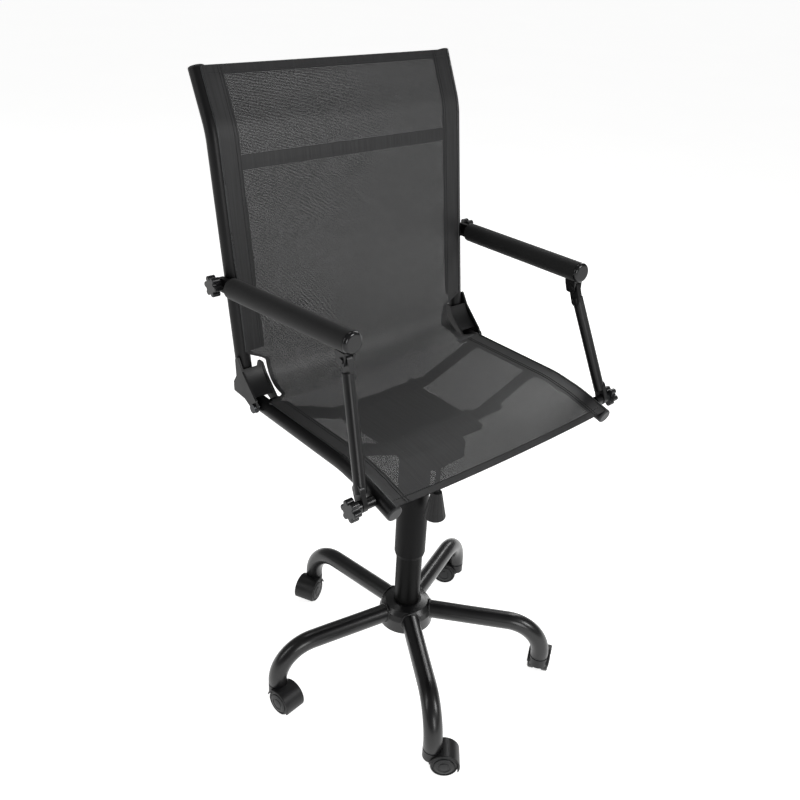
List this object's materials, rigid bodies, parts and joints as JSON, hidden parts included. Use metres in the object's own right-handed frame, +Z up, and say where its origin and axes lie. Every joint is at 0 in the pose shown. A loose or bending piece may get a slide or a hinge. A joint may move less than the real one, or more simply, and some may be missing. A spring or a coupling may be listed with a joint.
{
  "type": "blind swivel chair",
  "caption": "Swivel chair for a hunting blind: mesh sling seat and folding back on a tube frame with linked arms, a gas lift column, a tilt mechanism and a castored star base.",
  "frame": {"origin": "on the floor under the centre of the column", "axes": "the sitter faces -Y, +X is the sitter's left hand, +Z is up"},
  "size_m": [0.598, 0.5827, 1.1375],
  "materials": {
    "base_enamel": "gloss",
    "tube_enamel": "satin",
    "frame_powder_coat": "satin",
    "bracket_powder_coat": "satin",
    "arm_powder_coat": "satin",
    "mechanism_paint": "matt",
    "lever_paint": "satin",
    "bright_steel": "bright",
    "black_zinc": "black zinc",
    "chromed_rod": "polished",
    "bush_plastic": "matt",
    "button_plastic": "matt",
    "cover_plastic": "matt",
    "knob_plastic": "matt",
    "star_knob_plastic": "satin",
    "plug_plastic": "satin",
    "castor_nylon": "satin",
    "wheel_nylon": "satin",
    "cap_gloss": "gloss",
    "spring_rubber": "matt",
    "grip_foam": "matt",
    "sling_mesh": "woven"
  },
  "bodies": {
    "base": {"base_hub": "base_enamel", "base_leg_1": "base_enamel", "base_leg_2": "base_enamel", "base_leg_3": "base_enamel", "base_leg_4": "base_enamel", "base_leg_5": "base_enamel", "stem_sockets": "bush_plastic", "castor_stems": "bright_steel", "outer_tube": "tube_enamel", "guide_bush": "bush_plastic"},
    "castor_1": {"castor_1_hood": "castor_nylon"},
    "castor_1_roller_a": {"castor_1_wheel_a": "wheel_nylon"},
    "castor_1_roller_b": {"castor_1_wheel_b": "wheel_nylon"},
    "castor_2": {"castor_2_hood": "castor_nylon"},
    "castor_2_roller_a": {"castor_2_wheel_a": "wheel_nylon"},
    "castor_2_roller_b": {"castor_2_wheel_b": "wheel_nylon"},
    "castor_3": {"castor_3_hood": "castor_nylon"},
    "castor_3_roller_a": {"castor_3_wheel_a": "wheel_nylon"},
    "castor_3_roller_b": {"castor_3_wheel_b": "wheel_nylon"},
    "castor_4": {"castor_4_hood": "castor_nylon"},
    "castor_4_roller_a": {"castor_4_wheel_a": "wheel_nylon"},
    "castor_4_roller_b": {"castor_4_wheel_b": "wheel_nylon"},
    "castor_5": {"castor_5_hood": "castor_nylon"},
    "castor_5_roller_a": {"castor_5_wheel_a": "wheel_nylon"},
    "castor_5_roller_b": {"castor_5_wheel_b": "wheel_nylon"},
    "spindle": {"piston_rod": "chromed_rod", "rod_bearing": "bright_steel"},
    "lift": {"gas_cylinder": "tube_enamel", "column_cover": "cover_plastic", "mechanism_housing": "mechanism_paint", "tilt_pin": "bright_steel", "tension_spring": "spring_rubber"},
    "valve": {"valve_button": "button_plastic"},
    "lever": {"lift_lever": "lever_paint"},
    "tension": {"tension_knob": "knob_plastic"},
    "seat": {"seat_plate": "mechanism_paint", "seat_crossbars": "frame_powder_coat", "seat_rail_left": "frame_powder_coat", "seat_rail_right": "frame_powder_coat", "rail_plugs": "plug_plastic", "seat_fasteners": "black_zinc", "seat_sling": "sling_mesh"},
    "back": {"back_upright_left": "frame_powder_coat", "back_upright_right": "frame_powder_coat", "back_crossbar": "frame_powder_coat", "hinge_brackets": "bracket_powder_coat", "upright_plugs": "plug_plastic", "back_sling": "sling_mesh"},
    "arm_left": {"arm_frame_left": "arm_powder_coat", "arm_grip_left": "grip_foam", "arm_cap_left": "cap_gloss"},
    "strut_left": {"strut_left": "arm_powder_coat"},
    "rear_knob_left": {"knob_rear_left": "star_knob_plastic"},
    "front_knob_left": {"knob_front_left": "star_knob_plastic"},
    "arm_right": {"arm_frame_right": "arm_powder_coat", "arm_grip_right": "grip_foam", "arm_cap_right": "cap_gloss"},
    "strut_right": {"strut_right": "arm_powder_coat"},
    "rear_knob_right": {"knob_rear_right": "star_knob_plastic"},
    "front_knob_right": {"knob_front_right": "star_knob_plastic"}
  },
  "joints": [
    {"name": "castor_1_swivel", "type": "hinge", "parent": "base", "child": "castor_1", "pos_m": [-0.1375, -0.23816, 0.045], "axis": [0, 0, 1], "continuous": true},
    {"name": "castor_1_roll_a", "type": "hinge", "parent": "castor_1", "child": "castor_1_roller_a", "pos_m": [-0.12115, -0.25288, 0.025], "axis": [0.6691, 0.7431, 0], "continuous": true},
    {"name": "castor_1_roll_b", "type": "hinge", "parent": "castor_1", "child": "castor_1_roller_b", "pos_m": [-0.12115, -0.25288, 0.025], "axis": [0.6691, 0.7431, 0], "continuous": true},
    {"name": "castor_2_swivel", "type": "hinge", "parent": "base", "child": "castor_2", "pos_m": [0.18401, -0.20436, 0.045], "axis": [0, 0, 1], "continuous": true},
    {"name": "castor_2_roll_a", "type": "hinge", "parent": "castor_2", "child": "castor_2_roller_a", "pos_m": [0.20246, -0.19238, 0.025], "axis": [-0.5446, 0.8387, 0], "continuous": true},
    {"name": "castor_2_roll_b", "type": "hinge", "parent": "castor_2", "child": "castor_2_roller_b", "pos_m": [0.20246, -0.19238, 0.025], "axis": [-0.5446, 0.8387, 0], "continuous": true},
    {"name": "castor_3_swivel", "type": "hinge", "parent": "base", "child": "castor_3", "pos_m": [0.25122, 0.11185, 0.045], "axis": [0, 0, 1], "continuous": true},
    {"name": "castor_3_roll_a", "type": "hinge", "parent": "castor_3", "child": "castor_3_roller_a", "pos_m": [0.23708, 0.12871, 0.025], "axis": [-0.766, -0.6428, 0], "continuous": true},
    {"name": "castor_3_roll_b", "type": "hinge", "parent": "castor_3", "child": "castor_3_roller_b", "pos_m": [0.23708, 0.12871, 0.025], "axis": [-0.766, -0.6428, 0], "continuous": true},
    {"name": "castor_4_swivel", "type": "hinge", "parent": "base", "child": "castor_4", "pos_m": [-0.02874, 0.27349, 0.045], "axis": [0, 0, 1], "continuous": true},
    {"name": "castor_4_roll_a", "type": "hinge", "parent": "castor_4", "child": "castor_4_roller_a", "pos_m": [-0.04868, 0.2642, 0.025], "axis": [0.4226, -0.9063, 0], "continuous": true},
    {"name": "castor_4_roll_b", "type": "hinge", "parent": "castor_4", "child": "castor_4_roller_b", "pos_m": [-0.04868, 0.2642, 0.025], "axis": [0.4226, -0.9063, 0], "continuous": true},
    {"name": "castor_5_swivel", "type": "hinge", "parent": "base", "child": "castor_5", "pos_m": [-0.26899, 0.05718, 0.045], "axis": [0, 0, 1], "continuous": true},
    {"name": "castor_5_roll_a", "type": "hinge", "parent": "castor_5", "child": "castor_5_roller_a", "pos_m": [-0.26593, 0.03539, 0.025], "axis": [0.9903, 0.1392, 0], "continuous": true},
    {"name": "castor_5_roll_b", "type": "hinge", "parent": "castor_5", "child": "castor_5_roller_b", "pos_m": [-0.26593, 0.03539, 0.025], "axis": [0.9903, 0.1392, 0], "continuous": true},
    {"name": "seat_swivel", "type": "hinge", "parent": "base", "child": "spindle", "pos_m": [0, 0, 0.112], "axis": [0, 0, 1], "continuous": true},
    {"name": "seat_height", "type": "slide", "parent": "spindle", "child": "lift", "axis": [0, 0, 1], "range_m": [-0.1, 0.03]},
    {"name": "height_lever", "type": "hinge", "parent": "lift", "child": "lever", "pos_m": [0.04, 0, 0.5482], "axis": [0, -1, 0], "range_deg": [0, 4], "stiffness_Nm_per_rad": 2, "springref_deg": -5.73},
    {"name": "valve_press", "type": "slide", "parent": "lift", "child": "valve", "axis": [0, 0, -1], "range_m": [0, 0.003], "stiffness_N_per_m": 400, "springref_m": -0.001},
    {"name": "tension_turn", "type": "hinge", "parent": "lift", "child": "tension", "pos_m": [0, -0.06, 0.417], "axis": [0, 0, 1], "continuous": true},
    {"name": "tilt", "type": "hinge", "parent": "lift", "child": "seat", "pos_m": [0, 0.028, 0.537], "axis": [1, 0, 0], "range_deg": [-12, 0], "stiffness_Nm_per_rad": 110, "springref_deg": 8.59},
    {"name": "back_fold", "type": "hinge", "parent": "seat", "child": "back", "pos_m": [0, 0.12, 0.619], "axis": [1, 0, 0], "range_deg": [0, 40]},
    {"name": "arm_left_pivot", "type": "hinge", "parent": "back", "child": "arm_left", "pos_m": [0.265, 0.196, 0.814], "axis": [1, 0, 0], "range_deg": [-41, 1]},
    {"name": "strut_left_pivot", "type": "hinge", "parent": "seat", "child": "strut_left", "pos_m": [0.273, -0.184, 0.603], "axis": [1, 0, 0], "range_deg": [-1, 41]},
    {"name": "rear_knob_left_turn", "type": "hinge", "parent": "back", "child": "rear_knob_left", "pos_m": [0.28, 0.196, 0.814], "axis": [1, 0, 0], "continuous": true},
    {"name": "front_knob_left_turn", "type": "hinge", "parent": "seat", "child": "front_knob_left", "pos_m": [0.29, -0.184, 0.603], "axis": [1, 0, 0], "continuous": true},
    {"name": "arm_right_pivot", "type": "hinge", "parent": "back", "child": "arm_right", "pos_m": [-0.265, 0.196, 0.814], "axis": [1, 0, 0], "range_deg": [-41, 1]},
    {"name": "strut_right_pivot", "type": "hinge", "parent": "seat", "child": "strut_right", "pos_m": [-0.273, -0.184, 0.603], "axis": [1, 0, 0], "range_deg": [-1, 41]},
    {"name": "rear_knob_right_turn", "type": "hinge", "parent": "back", "child": "rear_knob_right", "pos_m": [-0.28, 0.196, 0.814], "axis": [1, 0, 0], "continuous": true},
    {"name": "front_knob_right_turn", "type": "hinge", "parent": "seat", "child": "front_knob_right", "pos_m": [-0.29, -0.184, 0.603], "axis": [1, 0, 0], "continuous": true}
  ],
  "couplings": [
    {"joint": "valve_press", "follows": "height_lever", "m_per_rad": 0.04},
    {"joint": "arm_left_pivot", "follows": "back_fold", "ratio": -1},
    {"joint": "strut_left_pivot", "follows": "back_fold", "ratio": 1},
    {"joint": "arm_right_pivot", "follows": "back_fold", "ratio": -1},
    {"joint": "strut_right_pivot", "follows": "back_fold", "ratio": 1}
  ]
}
